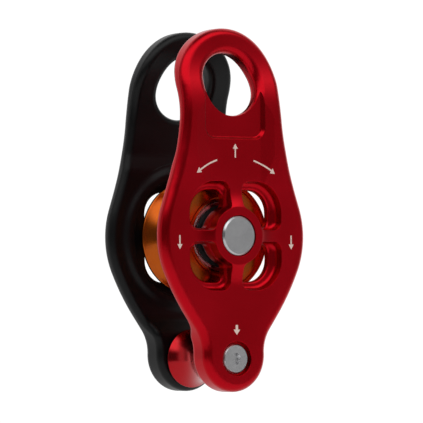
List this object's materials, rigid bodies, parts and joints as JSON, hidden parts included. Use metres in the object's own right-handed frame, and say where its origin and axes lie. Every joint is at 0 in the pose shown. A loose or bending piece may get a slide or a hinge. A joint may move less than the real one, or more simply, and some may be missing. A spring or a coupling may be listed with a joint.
{
  "type": "rope pulley",
  "caption": "Hanging rope pulley with fixed side plates, a connector eye, a ball-bearing sheave for rope and a becket bobbin below.",
  "frame": {"origin": "centre of the connector eye, half-way between the two side plates", "axes": "+Z along the pulley from the becket to the eye, +Y along the axle from the front (red) plate to the rear (black) plate, +X to the right as seen from the front"},
  "size_m": [0.0648, 0.0452, 0.1349],
  "materials": {
    "red_anodised_plate": "satin red anodised, printed arrows",
    "black_anodised_plate": "satin black anodised",
    "orange_anodised_sheave": "bright orange anodised, turned",
    "red_anodised_bobbin": "bright red anodised, turned",
    "fastener_steel": "turned, bright",
    "spacer_steel": "turned, satin",
    "bearing_steel": "ground",
    "ball_steel": "polished",
    "cage_plastic": "moulded",
    "seal_rubber": "matte moulded"
  },
  "bodies": {
    "frame": {"axle_pin": "fastener_steel", "axle_rear_collar": "fastener_steel", "becket_bobbin": "red_anodised_bobbin", "becket_pin": "fastener_steel", "becket_rear_collar": "fastener_steel", "front_bearing_inner_ring": "bearing_steel", "front_side_plate": "red_anodised_plate", "front_side_spacer": "spacer_steel", "inner_ring_spacer": "spacer_steel", "rear_bearing_inner_ring": "bearing_steel", "rear_side_plate": "black_anodised_plate", "rear_side_spacer": "spacer_steel"},
    "sheave": {"front_bearing_inner_seal": "seal_rubber", "front_bearing_outer_ring": "bearing_steel", "front_bearing_outer_seal": "seal_rubber", "rear_bearing_inner_seal": "seal_rubber", "rear_bearing_outer_ring": "bearing_steel", "rear_bearing_outer_seal": "seal_rubber", "sheave": "orange_anodised_sheave"},
    "front_ball_set": {"front_bearing_ball_1": "ball_steel", "front_bearing_ball_2": "ball_steel", "front_bearing_ball_3": "ball_steel", "front_bearing_ball_4": "ball_steel", "front_bearing_ball_5": "ball_steel", "front_bearing_ball_6": "ball_steel", "front_bearing_ball_7": "ball_steel", "front_bearing_cage": "cage_plastic"},
    "rear_ball_set": {"rear_bearing_ball_1": "ball_steel", "rear_bearing_ball_2": "ball_steel", "rear_bearing_ball_3": "ball_steel", "rear_bearing_ball_4": "ball_steel", "rear_bearing_ball_5": "ball_steel", "rear_bearing_ball_6": "ball_steel", "rear_bearing_ball_7": "ball_steel", "rear_bearing_cage": "cage_plastic"}
  },
  "joints": [
    {"name": "sheave_spin", "type": "hinge", "parent": "frame", "child": "sheave", "pos_m": [0, 0, -0.0562], "axis": [0, 1, 0], "continuous": true},
    {"name": "front_ball_set_spin", "type": "hinge", "parent": "frame", "child": "front_ball_set", "pos_m": [0, 0, -0.0562], "axis": [0, 1, 0], "continuous": true},
    {"name": "rear_ball_set_spin", "type": "hinge", "parent": "frame", "child": "rear_ball_set", "pos_m": [0, 0, -0.0562], "axis": [0, 1, 0], "continuous": true}
  ],
  "couplings": [
    {"joint": "front_ball_set_spin", "follows": "sheave_spin", "ratio": 0.6322},
    {"joint": "rear_ball_set_spin", "follows": "sheave_spin", "ratio": 0.6322}
  ]
}
